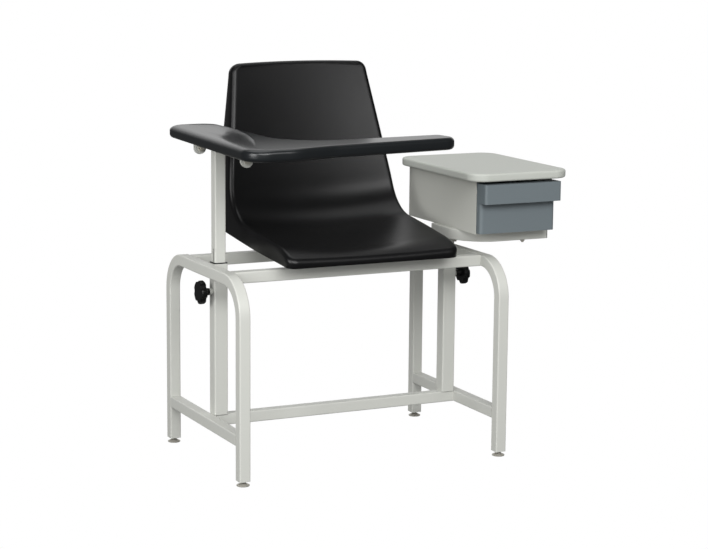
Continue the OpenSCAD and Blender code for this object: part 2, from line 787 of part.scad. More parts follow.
module arm_plate() {
    color(frame_grey)
        translate([-origin_x, -origin_y, plate_bottom])
            difference() {
                linear_extrude(height = arm_plate_t) polygon(plate_points);
                for (p = pad_screws)
                    translate([p[0], p[1], -cut])
                        cylinder(d = pad_screw_d + 2 * slip, h = arm_plate_t + 2 * cut, $fn = fine);
            }
}

module arm_screws() {
    color(zinc)
        for (p = pad_screws)
            translate([p[0] - origin_x, p[1] - origin_y, pad_bottom - p[2]]) {
                cylinder(d = pad_screw_d, h = p[2] + pad_screw_l - cut, $fn = fine);
                translate([0, 0, -pan_head_h]) cylinder(d = pan_head_d, h = pan_head_h, $fn = fine);
            }
}

// Hinge: the bridge on the post's top has a tab at each end, and an ear of the arm plate outside each tab

bridge_t = 8;
tab_t = 5;
pivot_drop = 16;
pivot_z = plate_bottom - pivot_drop;
bridge_clear = 0.5;
bridge_bottom = plate_bottom - bridge_t;

// Cross-section of the bridge about the pivot: its outer top edge is rounded for the arm to roll over
module bridge_section() {
    translate([0, pivot_drop - bridge_t]) square([tube / 2, bridge_t]);
    intersection() {
        translate([-tube / 2, pivot_drop - bridge_t]) square([tube / 2 + weld, bridge_t]);
        circle(r = pivot_drop - bridge_clear, $fn = 2 * fine);
    }
}

// Plate hanging from z = top to the pivot and round it, facing along Y, with the pivot's bore
module lug(half_width, top, t, bore) {
    rotate([90, 0, 0])
        linear_extrude(height = t)
            difference() {
                union() {
                    circle(r = half_width, $fn = 2 * fine);
                    translate([-half_width, 0]) square([2 * half_width, top]);
                }
                circle(d = bore, $fn = fine);
            }
}

module arm_bridge() {
    color(frame_grey)
        translate([-post_x - origin_x, -origin_y, pivot_z]) {
            translate([0, bridge_rear, 0])
                rotate([90, 0, 0])
                    linear_extrude(height = bridge_front + bridge_rear) bridge_section();
            for (y = [tab_t - bridge_front, bridge_rear])
                translate([0, y, 0])
                    lug(tube / 2, pivot_drop - bridge_t, tab_t, pivot_d + 2 * thread_slip);
        }
}

module hinge_ears() {
    color(frame_grey)
        translate([-post_x - origin_x, -origin_y, pivot_z])
            for (end = [-1, 1]) {
                outer = end < 0 ? -bridge_front - pivot_washer_t : bridge_rear + pivot_washer_t + ear_t;
                far = end < 0 ? outer - ear_t - ear_flange : outer;
                difference() {
                    union() {
                        translate([0, outer, 0]) lug(ear_half, pivot_drop, ear_t, pivot_d + 2 * thread_slip);
                        translate([-ear_half, far, pivot_drop - ear_flange_t])
                            cube([2 * ear_half, ear_flange, ear_flange_t]);
                        translate([-ear_half, outer - ear_t, pivot_drop - ear_flange_t])
                            cube([2 * ear_half, ear_t, ear_flange_t]);
                    }
                    for (p = ear_screws)
                        translate([p[0] + post_x, p[1], pivot_drop - ear_flange_t - cut])
                            cylinder(d = pad_screw_d + 2 * slip, h = ear_flange_t + 2 * cut, $fn = fine);
                }
            }
}

// Each hinge bolt has its head outside the ear and its nut inside the tab
pivot_grip = ear_t + pivot_washer_t + tab_t;
module at_pivots() {
    translate([-post_x - origin_x, -bridge_front - pivot_washer_t - ear_t - origin_y, pivot_z])
        rotate([-90, 0, 0]) children();
    translate([-post_x - origin_x, bridge_rear + pivot_washer_t + ear_t - origin_y, pivot_z])
        rotate([90, 0, 0]) children();
}

module pivot_bolts() {
    color(zinc)
        at_pivots() {
            cylinder(d = pivot_d, h = pivot_grip + m8_nut_h + bolt_end, $fn = fine);
            translate([0, 0, -m8_head_h]) hexagon(m8_flats, m8_head_h);
        }
}

module pivot_nuts() {
    color(zinc)
        at_pivots()
            translate([0, 0, pivot_grip])
                difference() {
                    hexagon(m8_flats, m8_nut_h);
                    translate([0, 0, -cut])
                        cylinder(d = pivot_d + 2 * thread_slip, h = m8_nut_h + 2 * cut, $fn = fine);
                }
}

module pivot_washers() {
    color(nylon)
        at_pivots()
            translate([0, 0, ear_t])
                difference() {
                    cylinder(d = 2 * pivot_d, h = pivot_washer_t, $fn = fine);
                    translate([0, 0, -cut])
                        cylinder(d = pivot_d + 2 * thread_slip, h = pivot_washer_t + 2 * cut, $fn = fine);
                }
}

// Arm post: the slot in its outer wall lets it travel this far down and up
arm_down = 90;
arm_up = 60;
post_stop = 6;
arm_post_bottom = stretcher_top + arm_down + post_stop;
slot_low = clamp_z - arm_up - slot_w / 2;
slot_high = clamp_z + arm_down + slot_w / 2;

module arm_post() {
    color(frame_grey)
        translate([-post_x - origin_x, -origin_y, 0])
            difference() {
                translate([0, 0, arm_post_bottom])
                    tube_up(tube, tube_wall, bridge_bottom - arm_post_bottom);
                translate([-tube / 2 - cut, -slot_w / 2, slot_low])
                    cube([tube_wall + 2 * cut, slot_w, slot_high - slot_low]);
                for (z = [slot_low, slot_high])
                    translate([-tube / 2 - cut, 0, z])
                        rotate([0, 90, 0])
                            cylinder(d = slot_w, h = tube_wall + 2 * cut, $fn = fine);
            }
}

// Cabinet: its post carries a bent support tube, bolted up through the cabinet's floor

support_bottom = frame_top + bushing_flange + cabinet_lift;
cabinet_z = support_bottom + tube;
cabinet_top_z = cabinet_z + cabinet_h;
cabinet_up = 80;
cabinet_post_bottom = stretcher_top + cabinet_lift + post_stop;
cabinet_overlap = 17.5;
cabinet_setback = 65.6;
cabinet_x = post_x + tube / 2 + cabinet_w / 2 - cabinet_overlap;
cabinet_front = half_d - cabinet_setback;
support_left = post_x;
support_right = 2 * cabinet_x - post_x + tube / 2;
support_setback = 43.3;
support_y = cabinet_front - support_setback;
support_rear = 54;
support_bolt_shift = 3.5;
support_bolt_front = 32;
support_bolt_rear = 36;
support_bolts = [[post_x + support_bolt_shift, -support_bolt_front],
    [post_x + support_bolt_shift, support_bolt_rear], [cabinet_x + cabinet_w / 4, -support_y]];
support_bolt_d = 6;
truss_head_d = 12;
truss_head_h = 2.6;

module cabinet_post() {
    color(frame_grey)
        translate([post_x - origin_x, -origin_y, cabinet_post_bottom])
            difference() {
                tube_up(tube, tube_wall, support_bottom - cabinet_post_bottom);
                translate([tube / 2 - tube_wall - cut, -slot_w / 2,
                    clamp_z - cabinet_up - cabinet_post_bottom])
                    cube([tube_wall + 2 * cut, slot_w, cabinet_up + cabinet_lift]);
                for (z = [-cabinet_up, cabinet_lift])
                    translate([tube / 2 - tube_wall - cut, 0, clamp_z + z - cabinet_post_bottom])
                        rotate([0, 90, 0])
                            cylinder(d = slot_w, h = tube_wall + 2 * cut, $fn = fine);
            }
}

module support_tube() {
    color(frame_grey)
        translate([-origin_x, -origin_y, support_bottom + tube / 2])
            difference() {
                union() {
                    translate([support_left, support_rear, 0])
                        rotate([90, 0, 0])
                            tube_up(tube, tube_wall, support_rear + support_y - bend_r);
                    translate([support_left + bend_r, bend_r - support_y, 0])
                        rotate([0, 0, 180])
                            rotate_extrude(angle = 90, $fn = 2 * fine)
                                translate([bend_r, 0]) tube_section(tube, tube_wall);
                    translate([support_left + bend_r, -support_y, 0])
                        rotate([90, 0, 90])
                            tube_up(tube, tube_wall, support_right - support_left - bend_r);
                }
                for (p = support_bolts)
                    translate([p[0], p[1], -tube / 2 - cut])
                        cylinder(d = support_bolt_d + 2 * slip, h = tube + 2 * cut, $fn = fine);
            }
}

plug_t = 2;
plug_l = 12;
module plug() {
    linear_extrude(height = plug_t) rounded_square(tube, tube_corner);
    translate([0, 0, -plug_l])
        linear_extrude(height = plug_l + plug_t / 2)
            rounded_square(tube_inner - slip, tube_corner - tube_wall / 2);
}

module tube_plugs() {
    color(knob_black)
        translate([-origin_x, -origin_y, support_bottom + tube / 2]) {
            translate([support_left, support_rear, 0]) rotate([-90, 0, 0]) plug();
            translate([support_right, -support_y, 0]) rotate([90, 0, 90]) plug();
        }
}

flange_w = 14;
tab_w = 12;
tab_reach = 11;
tab_inset = 16;
top_screw_d = 4;
top_screw_l = 10;
top_screw_head_d = 8;
top_screw_head_h = 2.4;
top_screws_at = [for (sx = [-1, 1], y = [-cabinet_front + tab_inset, cabinet_d - cabinet_front - tab_inset])
    [cabinet_x + sx * (cabinet_w + tab_reach) / 2, y]];

// Sheet-metal box, open at the front, with a flange round its top and four outward tabs under the top's rim
module cabinet_body() {
    color(frame_grey)
        translate([cabinet_x - origin_x, -cabinet_front - origin_y, cabinet_z])
            difference() {
                union() {
                    translate([-cabinet_w / 2, 0, 0]) cube([cabinet_w, cabinet_d, cabinet_h]);
                    for (p = top_screws_at)
                        translate([p[0] - cabinet_x - tab_reach / 2 - sheet, p[1] + cabinet_front - tab_w / 2,
                            cabinet_h - sheet])
                            cube([tab_reach + 2 * sheet, tab_w, sheet]);
                }
                translate([-cabinet_w / 2 + sheet, -cut, sheet])
                    cube([cabinet_w - 2 * sheet, cabinet_d - sheet + cut, cabinet_h - 2 * sheet]);
                translate([-cabinet_w / 2 + flange_w, -cut, cabinet_h - 2 * sheet])
                    cube([cabinet_w - 2 * flange_w, cabinet_d - flange_w + cut, 3 * sheet]);
                for (p = support_bolts)
                    translate([p[0] - cabinet_x, p[1] + cabinet_front, -cut])
                        cylinder(d = support_bolt_d + 2 * slip, h = sheet + 2 * cut, $fn = fine);
                for (p = top_screws_at)
                    translate([p[0] - cabinet_x, p[1] + cabinet_front, cabinet_h - sheet - cut])
                        cylinder(d = top_screw_d + 2 * slip, h = sheet + 2 * cut, $fn = fine);
            }
}

module cabinet_bolts() {
    color(zinc)
        for (p = support_bolts)
            translate([p[0] - origin_x, p[1] - origin_y, support_bottom - m6_head_h - bolt_end]) {
                cylinder(d = support_bolt_d, h = m6_head_h + bolt_end + tube + sheet + weld, $fn = fine);
                translate([0, 0, m6_head_h + bolt_end + tube + sheet])
                    cylinder(d1 = truss_head_d, d2 = truss_head_d / 2, h = truss_head_h, $fn = fine);
            }
}

module cabinet_nuts() {
    color(zinc)
        for (p = support_bolts)
            translate([p[0] - origin_x, p[1] - origin_y, support_bottom - m6_head_h])
                difference() {
                    hexagon(m6_flats, m6_head_h);
                    translate([0, 0, -cut])
                        cylinder(d = support_bolt_d + 2 * thread_slip, h = m6_head_h + 2 * cut, $fn = fine);
                }
}

// Cabinet top: its front is flush with the drawer's pull
top_setback = 2.7;
top_front = cabinet_front + drawer_face_t + pull_reach - top_setback;
top_edge_r = 5;
top_half = top_w / 2;
top_steps = 10;
top_outline = rounded_outline([[-top_half, 0], [top_half, 0], [top_half, top_d], [-top_half, top_d]],
    [top_corner_r, top_corner_r, top_corner_r, top_corner_r], top_steps);

module cabinet_top() {
    color(top_grey)
        difference() {
            translate([cabinet_x - origin_x, -top_front - origin_y, cabinet_top_z])
                rolled_slab(top_outline, top_t, top_edge_r, 4, [0, top_d / 2]);
            for (p = top_screws_at)
                translate([p[0] - origin_x, p[1] - origin_y, cabinet_top_z - cut])
                    cylinder(d = top_screw_d + 2 * thread_slip, h = top_screw_l + cut, $fn = fine);
        }
}

module top_screws() {
    color(zinc)
        for (p = top_screws_at)
            translate([p[0] - origin_x, p[1] - origin_y, cabinet_top_z - sheet]) {
                cylinder(d = top_screw_d, h = sheet + top_screw_l - cut, $fn = fine);
                translate([0, 0, -top_screw_head_h])
                    cylinder(d = top_screw_head_d, h = top_screw_head_h, $fn = fine);
            }
}

// Drawer: a moulded tray whose rim slides in two channels, with a face and a hollow pull in front
drawer_gap = 0.5;
tray_side_gap = 7.8;
tray_half = cabinet_w / 2 - sheet - tray_side_gap;
tray_l = 300;
tray_clear = 2;
tray_top_gap = 26;
tray_floor_z = cabinet_z + sheet + truss_head_h + tray_clear;
tray_top_z = cabinet_z + cabinet_h - tray_top_gap;
rim_t = 2.5;
rim_reach = 6;
face_side_gap = 1.7;
face_low_gap = 2.6;
face_high_gap = 6.2;
face_half = cabinet_w / 2 - face_side_gap;
face_low_z = cabinet_z + face_low_gap;
face_high_z = cabinet_top_z - face_high_gap;
face_r = 8;
pull_half = cabinet_w / 2;
pull_r = 6;
pull_wall = 3;

// A bar along X with its two front vertical edges rounded, from y = 0 back to depth
module fronted_bar(half, depth, h, r) {
    linear_extrude(height = h) {
        translate([-half, r]) square([2 * half, depth - r]);
        translate([-half + r, 0]) square([2 * (half - r), r + weld]);
        for (sx = [-1, 1])
            translate([sx * (half - r), r]) circle(r = r, $fn = fine);
    }
}

module drawer() {
    face_y = -cabinet_front - drawer_face_t;
    color(slate)
        translate([cabinet_x - origin_x, -origin_y, 0])
            difference() {
                union() {
                    translate([0, face_y, face_low_z])
                        fronted_bar(face_half, drawer_face_t - drawer_gap, face_high_z - face_low_z, face_r);
                    translate([0, face_y - pull_reach, face_high_z - pull_h])
                        fronted_bar(pull_half, pull_reach + face_r + 1, pull_h, pull_r);
                    translate([-tray_half, face_y + face_r, tray_floor_z])
                        cube([2 * tray_half, tray_l, tray_top_z - tray_floor_z]);
                    translate([-tray_half - rim_reach, face_y + drawer_face_t - drawer_gap,
                        tray_top_z - rim_t])
                        cube([2 * (tray_half + rim_reach),
                            tray_l + face_r - drawer_face_t + drawer_gap, rim_t]);
                }
                translate([-tray_half + drawer_wall, face_y + drawer_wall, tray_floor_z + drawer_wall])
                    cube([2 * (tray_half - drawer_wall), tray_l + face_r - 2 * drawer_wall,
                        tray_top_z - tray_floor_z]);
                translate([-tray_half + drawer_wall, face_y + drawer_wall, tray_top_z - cut])
                    cube([2 * (tray_half - drawer_wall), drawer_face_t, cabinet_h]);
                translate([-pull_half + pull_wall, face_y - pull_reach + pull_wall,
                    face_high_z - pull_h - cut])
                    cube([2 * (pull_half - pull_wall), pull_reach - pull_wall, pull_h - pull_wall + cut]);
            }
}

runner_t = 1.5;
runner_lip = 6.4;
runner_gap = 0.3;
runner_end_gap = 20;
runner_l = cabinet_d - runner_end_gap;

// One channel a side: a web on the cabinet's wall and a ledge under and over the drawer's rim
module drawer_runners() {
    color(zinc)
        for (side = [-1, 1])
            translate([cabinet_x - origin_x, sheet - cabinet_front - origin_y, 0])
                mirror([side > 0 ? 1 : 0, 0, 0]) {
                    x = -cabinet_w / 2 + sheet;
                    low = tray_top_z - rim_t - slip - runner_t;
                    high = tray_top_z + runner_gap;
                    translate([x, 0, low]) cube([runner_t, runner_l, high + runner_t - low]);
                    translate([x, 0, low]) cube([runner_lip, runner_l, runner_t]);
                    translate([x, 0, high]) cube([runner_lip, runner_l, runner_t]);
                }
}

// The origin: half way between the chair's extremes left and right, and front and rear
pad_xs = [for (p = pad_outline) p[0]];
pad_ys = [for (p = pad_outline) p[1]];
shell_ys = [for (p = outer_rings) p[1]];
tenth = 0.1;
origin_x = tenth * round((min(pad_xs) + cabinet_x + top_half) / (2 * tenth));
origin_y = tenth * round((min(pad_ys) + max(max(pad_ys), max(shell_ys), half_d + tube / 2)) / (2 * tenth));

module left_end_frame() { end_frame(-1); }
module right_end_frame() { end_frame(1); }
module left_stretcher() { side_stretcher(-1); }
module right_stretcher() { side_stretcher(1); }
module cross_stretcher() { cross_tube(0, stretcher_z); }
module front_rail() { cross_tube(-rail_y, frame_top - tube / 2); }
module rear_rail() { cross_tube(rail_y, frame_top - tube / 2); }

left_end_frame();
right_end_frame();
left_stretcher();
right_stretcher();
cross_stretcher();
front_rail();
rear_rail();
seat_bars();
socket_tube(-1);  // left_socket
socket_tube(1);  // right_socket
clamp_nut(-1);  // left_clamp_nut
clamp_nut(1);  // right_clamp_nut
bushing(-1);  // left_bushing
bushing(1);  // right_bushing
leg_inserts();
glide(-1, -1);  // glide_front_left
glide(1, -1);  // glide_front_right
glide(-1, 1);  // glide_rear_left
glide(1, 1);  // glide_rear_right
clamp_screw(-1);  // left_clamp_screw
clamp_screw(1);  // right_clamp_screw
knob(-1);  // left_knob
knob(1);  // right_knob
seat_shell();
seat_bolts();
seat_washers();
arm_post();
arm_bridge();
pivot_bolts();
pivot_nuts();
pivot_washers();
arm_plate();
hinge_ears();
arm_pad();
pad_board();
arm_screws();
cabinet_post();
support_tube();
tube_plugs();
cabinet_body();
drawer_runners();
cabinet_top();
cabinet_bolts();
cabinet_nuts();
top_screws();
drawer();
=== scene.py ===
import math

import bpy
import numpy as np
from mathutils import Matrix, Vector


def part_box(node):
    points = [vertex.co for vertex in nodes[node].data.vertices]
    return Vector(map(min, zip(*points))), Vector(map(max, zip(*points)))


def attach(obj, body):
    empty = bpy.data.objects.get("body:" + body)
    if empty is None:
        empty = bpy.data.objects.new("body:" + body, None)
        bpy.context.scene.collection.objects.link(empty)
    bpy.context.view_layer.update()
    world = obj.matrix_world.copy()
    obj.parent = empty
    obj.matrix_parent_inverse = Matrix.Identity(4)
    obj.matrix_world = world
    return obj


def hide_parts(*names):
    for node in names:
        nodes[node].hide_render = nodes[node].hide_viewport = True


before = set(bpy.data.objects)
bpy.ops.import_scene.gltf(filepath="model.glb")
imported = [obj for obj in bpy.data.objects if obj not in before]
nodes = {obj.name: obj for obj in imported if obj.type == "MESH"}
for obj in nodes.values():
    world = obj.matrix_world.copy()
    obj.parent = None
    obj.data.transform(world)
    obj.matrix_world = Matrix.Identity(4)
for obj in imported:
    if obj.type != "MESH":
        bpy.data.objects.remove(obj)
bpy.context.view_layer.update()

mm = 0.001
print("stage: frame loaded,", len(nodes), "CAD nodes")

# the chair's own axes: half way between the end frames, both ways, from the floor up; then in mm the
# frame's height, half its depth, half its tube and the way from the middle to a post
leftLow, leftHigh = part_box("left_end_frame")
rightLow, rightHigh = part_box("right_end_frame")
chairOrigin = np.array([(leftLow.x + rightHigh.x) / 2, (leftLow.y + leftHigh.y) / 2, 0.0])
frameTop = leftHigh.z / mm
halfDepth = (leftHigh.y - leftLow.y) / 2 / mm
tubeHalf = (leftHigh.x - leftLow.x) / 2 / mm
postX = (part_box("cabinet_post")[0].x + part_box("cabinet_post")[1].x) / 2 / mm - chairOrigin[0] / mm


def linear(hexText):
    # sRGB hex colour to linear rgb
    rgb = [int(hexText[i:i + 2], 16) / 255 for i in (1, 3, 5)]
    return [c / 12.92 if c <= 0.04045 else ((c + 0.055) / 1.055) ** 2.4 for c in rgb]


def colour(hexText):
    return (*linear(hexText), 1.0)


def perMetre(size):
    # a noise scale whose blobs are about this many mm wide
    return 1000.0 / size


def addNode(tree, kind, settings=None, values=None, links=None):
    node = tree.nodes.new(kind)
    for name, value in (settings or {}).items():
        setattr(node, name, value)
    for name, value in (values or {}).items():
        node.inputs[name].default_value = value
    for name, socket in (links or {}).items():
        tree.links.new(socket, node.inputs[name])
    return node


def newMaterial(name, baseHex, roughness, metallic=0.0, specular=0.5):
    material = bpy.data.materials.new(name)
    material.use_nodes = True
    tree = material.node_tree
    shader = tree.nodes["Principled BSDF"]
    shader.inputs["Base Color"].default_value = colour(baseHex)
    shader.inputs["Roughness"].default_value = roughness
    shader.inputs["Metallic"].default_value = metallic
    shader.inputs["Specular IOR Level"].default_value = specular
    place = addNode(tree, "ShaderNodeTexCoord").outputs["Object"]
    return material, tree, shader, place


def addGrain(tree, shader, place, size, depth, strength, detail=3.0):
    # fine relief of the surface, its size and depth in mm
    noise = addNode(tree, "ShaderNodeTexNoise", values={"Scale": perMetre(size), "Detail": detail},
                    links={"Vector": place})
    bump = addNode(tree, "ShaderNodeBump", values={"Strength": strength, "Distance": depth * mm},
                   links={"Height": noise.outputs["Fac"]})
    tree.links.new(bump.outputs["Normal"], shader.inputs["Normal"])


def varyRoughness(tree, shader, place, size, low, high):
    # cloudy change of gloss between two roughnesses, its size in mm
    noise = addNode(tree, "ShaderNodeTexNoise", values={"Scale": perMetre(size), "Detail": 4.0},
                    links={"Vector": place})
    spread = addNode(tree, "ShaderNodeMapRange", values={"To Min": low, "To Max": high},
                     links={"Value": noise.outputs["Fac"]})
    tree.links.new(spread.outputs["Result"], shader.inputs["Roughness"])


def makeMaterials():
    made = {}
    # polyester powder coat on steel tube: slight orange peel
    m, tree, shader, place = newMaterial("powderCoat", "#c6c7c1", roughness=0.4)
    addGrain(tree, shader, place, size=1.6, depth=0.05, strength=0.12)
    varyRoughness(tree, shader, place, size=30, low=0.36, high=0.46)
    made["powderCoat"] = m
    # the frame's powder coat on the cabinet's folded sheet, its colour set a little darker and warmer than
    # the frame's as painted shade for the cabinet's shaded side
    m, tree, shader, place = newMaterial("sheetCoatPaintedShade", "#c2c3bc", roughness=0.42)
    addGrain(tree, shader, place, size=1.6, depth=0.05, strength=0.1)
    made["sheetCoatPaintedShade"] = m
    # grey moulded structural foam of the cabinet top
    m, tree, shader, place = newMaterial("topPlastic", "#b9bcb5", roughness=0.45)
    addGrain(tree, shader, place, size=0.9, depth=0.05, strength=0.15)
    made["topPlastic"] = m
    # injection-moulded slate grey drawer
    m, tree, shader, place = newMaterial("drawerPlastic", "#6a7377", roughness=0.42)
    addGrain(tree, shader, place, size=0.8, depth=0.04, strength=0.12)
    made["drawerPlastic"] = m
    # injection-moulded black polypropylene shell with a fine leather-like grain
    m, tree, shader, place = newMaterial("shellPlastic", "#0c0c0d", roughness=0.34, specular=0.32)
    addGrain(tree, shader, place, size=0.9, depth=0.08, strength=0.2, detail=4.0)
    varyRoughness(tree, shader, place, size=60, low=0.3, high=0.38)
    made["shellPlastic"] = m
    # self-skinned polyurethane foam
    m, tree, shader, place = newMaterial("padSkin", "#16191b", roughness=0.31, specular=0.4)
    shader.inputs["Coat Weight"].default_value = 0.3
    shader.inputs["Coat Roughness"].default_value = 0.3
    addGrain(tree, shader, place, size=0.7, depth=0.06, strength=0.2, detail=4.0)
    made["padSkin"] = m
    # moulded black nylon of knobs, bushings and plugs
    m, tree, shader, place = newMaterial("blackPlastic", "#0c0c0d", roughness=0.34, specular=0.45)
    addGrain(tree, shader, place, size=0.6, depth=0.03, strength=0.12)
    made["blackPlastic"] = m
    # zinc-plated steel fasteners
    m, tree, shader, place = newMaterial("zincPlate", "#d2cfc4", roughness=0.4, metallic=0.6)
    varyRoughness(tree, shader, place, size=3, low=0.3, high=0.5)
    made["zincPlate"] = m
    # natural nylon washers
    made["nylon"] = newMaterial("nylon", "#e6e2d6", roughness=0.45)[0]
    # raw birch plywood
    made["plywood"] = newMaterial("plywood", "#9a7a54", roughness=0.7)[0]
    return made


materials = makeMaterials()
finishOf = {"shellPlastic": ["seat_shell"], "padSkin": ["arm_pad"], "topPlastic": ["cabinet_top"],
            "drawerPlastic": ["drawer"], "sheetCoatPaintedShade": ["cabinet_body"], "nylon": ["pivot_washers"],
            "plywood": ["pad_board"],
            "blackPlastic": ["left_knob", "right_knob", "left_bushing", "right_bushing", "tube_plugs",
                             "leg_inserts"],
            "zincPlate": ["glide_front_left", "glide_front_right", "glide_rear_left", "glide_rear_right",
                          "left_clamp_screw", "right_clamp_screw", "seat_bolts", "seat_washers",
                          "pivot_bolts", "pivot_nuts", "arm_screws", "cabinet_bolts", "cabinet_nuts",
                          "top_screws", "drawer_runners"]}
finishFor = {node: name for name, members in finishOf.items() for node in members}
for name, obj in nodes.items():
    obj.data.materials.clear()
    obj.data.materials.append(materials[finishFor.get(name, "powderCoat")])
print("stage: materials given")

# width in mm of the softened edges of pieces that CAD leaves sharp
softEdges = {"cabinet_body": 0.4, "drawer": 1.2, "hinge_ears": 0.5, "arm_bridge": 0.8, "arm_plate": 0.5,
             "seat_bars": 0.5, "drawer_runners": 0.3, "tube_plugs": 0.5, "left_bushing": 0.5,
             "right_bushing": 0.5, "left_clamp_nut": 0.5, "right_clamp_nut": 0.5, "cabinet_nuts": 0.4,
             "cabinet_bolts": 0.4, "pivot_bolts": 0.5, "pivot_nuts": 0.5, "left_knob": 0.6,
             "right_knob": 0.6, "seat_bolts": 0.4}
# weld distance in mm, angles in degrees
edgeSettings = {"weldGap": 0.002, "flatAngle": 0.5, "sharpAngle": 35, "segments": 3}


def softenEdges(obj, width, settings):
    # join the imported corners, dissolve flat triangles, round the sharp edges and weigh the normals
    weld = obj.modifiers.new("weld", "WELD")
    weld.merge_threshold = settings["weldGap"] * mm
    flat = obj.modifiers.new("flat", "DECIMATE")
    flat.decimate_type = "DISSOLVE"
    flat.angle_limit = math.radians(settings["flatAngle"])
    bevel = obj.modifiers.new("edges", "BEVEL")
    bevel.width = width * mm
    bevel.segments = settings["segments"]
    bevel.limit_method = "ANGLE"
    bevel.angle_limit = math.radians(settings["sharpAngle"])
    normals = obj.modifiers.new("normals", "WEIGHTED_NORMAL")
    normals.keep_sharp = True


for name, width in softEdges.items():
    softenEdges(nodes[name], width, edgeSettings)
print("stage: edges softened")


def toFrame(points):
    # chair coordinates in mm to the row frame in metres
    return np.asarray(points, float) * mm + chairOrigin


def gridFaces(rows, columns, closed=False):
    # quads between neighbouring rows of points; closed joins the last column to the first
    i, j = np.meshgrid(np.arange(rows - 1), np.arange(columns if closed else columns - 1), indexing="ij")
    a, b = i * columns + j, i * columns + (j + 1) % columns
    return np.stack([a, b, b + columns, a + columns], -1).reshape(-1, 4)


def borderOf(rows, columns):
    # indices round the edge of a grid of points, as a closed loop
    last = (rows - 1) * columns
    return np.concatenate([np.arange(columns), columns - 1 + columns * np.arange(1, rows),
                           last + np.arange(columns - 2, -1, -1), columns * np.arange(rows - 2, 0, -1)])


def addPiece(name, points, faces, material, body, stands):
    mesh = bpy.data.meshes.new(name)
    mesh.from_pydata(toFrame(points).tolist(), [], faces)
    mesh.polygons.foreach_set("use_smooth", np.ones(len(mesh.polygons), bool))
    mesh.materials.append(materials[material])
    mesh.update()
    obj = bpy.data.objects.new(name, mesh)
    bpy.context.scene.collection.objects.link(obj)
    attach(obj, body)
    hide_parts(*stands)
    print("stage:", name, "made,", len(mesh.polygons), "faces")
    return obj


def smoothed(values, width):
    # running mean over width samples, done twice, with the ends held
    kernel = np.ones(2 * (width // 2) + 1)
    kernel /= kernel.sum()
    for _ in range(2):
        values = np.convolve(np.pad(values, width // 2, mode="edge"), kernel, "valid")
    return values


# seat shell, mm and degrees; places along its line are counted from the front edge, the edges are
# ways out from the middle at shares of the line, and rimRound is pairs of inset and shortening
seatSizes = {"frontSetback": 18, "frontRise": 33, "frontSlope": 29, "seatSlope": 7, "backSlope": 75.5,
             "frontRadius": 160, "seatFlat": 181, "hipRadius": 96, "backFlat": 278, "lumbar": 0.5,
             "topArch": 5, "archPower": 4, "dishPastHip": 48,
             "shares": (0, 0.1, 0.24, 0.38, 0.56, 1), "leftEdge": (204, 206, 211, 211, 208, 171),
             "rightEdge": (213, 213, 216, 216, 211, 169),
             "dishes": (3, 15, 20.5, 26, 19, 8), "wall": 3.6, "fold": 10, "corner": 12,
             "rimRise": 10.5, "rimSlope": 5.4, "rimBackSetback": 41, "rimBackRise": 47, "rimBackSlope": 82,
             "rimTopSetback": -12, "rimTopRise": 247, "rimTopSlope": 86,
             "rows": 150, "columns": 97, "cornerSteps": 14, "foldSteps": 8,
             "bossX": 75, "bossWidth": 17, "bossSides": 32,
             "rimRound": ((0, 1.2), (0.3, 0.4), (1.1, 0)),
             "lineMargin": 60, "slopeSmoothing": 24, "edgeSmoothing": 40, "dishSmoothing": 30}


def seatLine(z):
    # the shell's edge line in the Y-Z plane: its slope runs evenly between a few knots and is smoothed,
    # and its points are the running sum of its direction
    frontArc = z["frontRadius"] * math.radians(z["frontSlope"] - z["seatSlope"])
    hip = frontArc + z["seatFlat"]
    back = hip + z["hipRadius"] * math.radians(z["backSlope"] - z["seatSlope"])
    top = back + z["backFlat"]
    s = np.arange(-z["lineMargin"], top + z["lineMargin"], 1.0)
    # the back leans a little less low down than at its top
    slope = smoothed(np.interp(s, [0, frontArc, hip, back, top],
                               [z["frontSlope"], z["seatSlope"], z["seatSlope"],
                                z["backSlope"] + z["lumbar"], z["backSlope"] - z["lumbar"]]),
                     z["slopeSmoothing"])
    skirt = smoothed(np.interp(s, [hip, back], [z["seatSlope"], z["backSlope"]]), z["slopeSmoothing"])
    angle = np.radians(slope)
    middle = (angle[1:] + angle[:-1]) / 2
    y = np.concatenate([[0], np.cumsum(np.cos(middle))])
    height = np.concatenate([[0], np.cumsum(np.sin(middle))])
    y += -halfDepth + tubeHalf + z["frontSetback"] - np.interp(0, s, y)
    height += frameTop + z["frontRise"] - np.interp(0, s, height)
    left, right = [smoothed(np.interp(s / top, z["shares"], z[name]), z["edgeSmoothing"])
                   for name in ("leftEdge", "rightEdge")]
    dishPlaces = [0, frontArc, hip, (hip + back) / 2, back + z["dishPastHip"], top]
    dish = smoothed(np.interp(s, dishPlaces, z["dishes"]), z["dishSmoothing"])
    return {"s": s, "slope": slope, "skirt": skirt, "y": y, "z": height, "half": (right + left) / 2,
            "middle": (right - left) / 2, "dish": dish, "top": top}


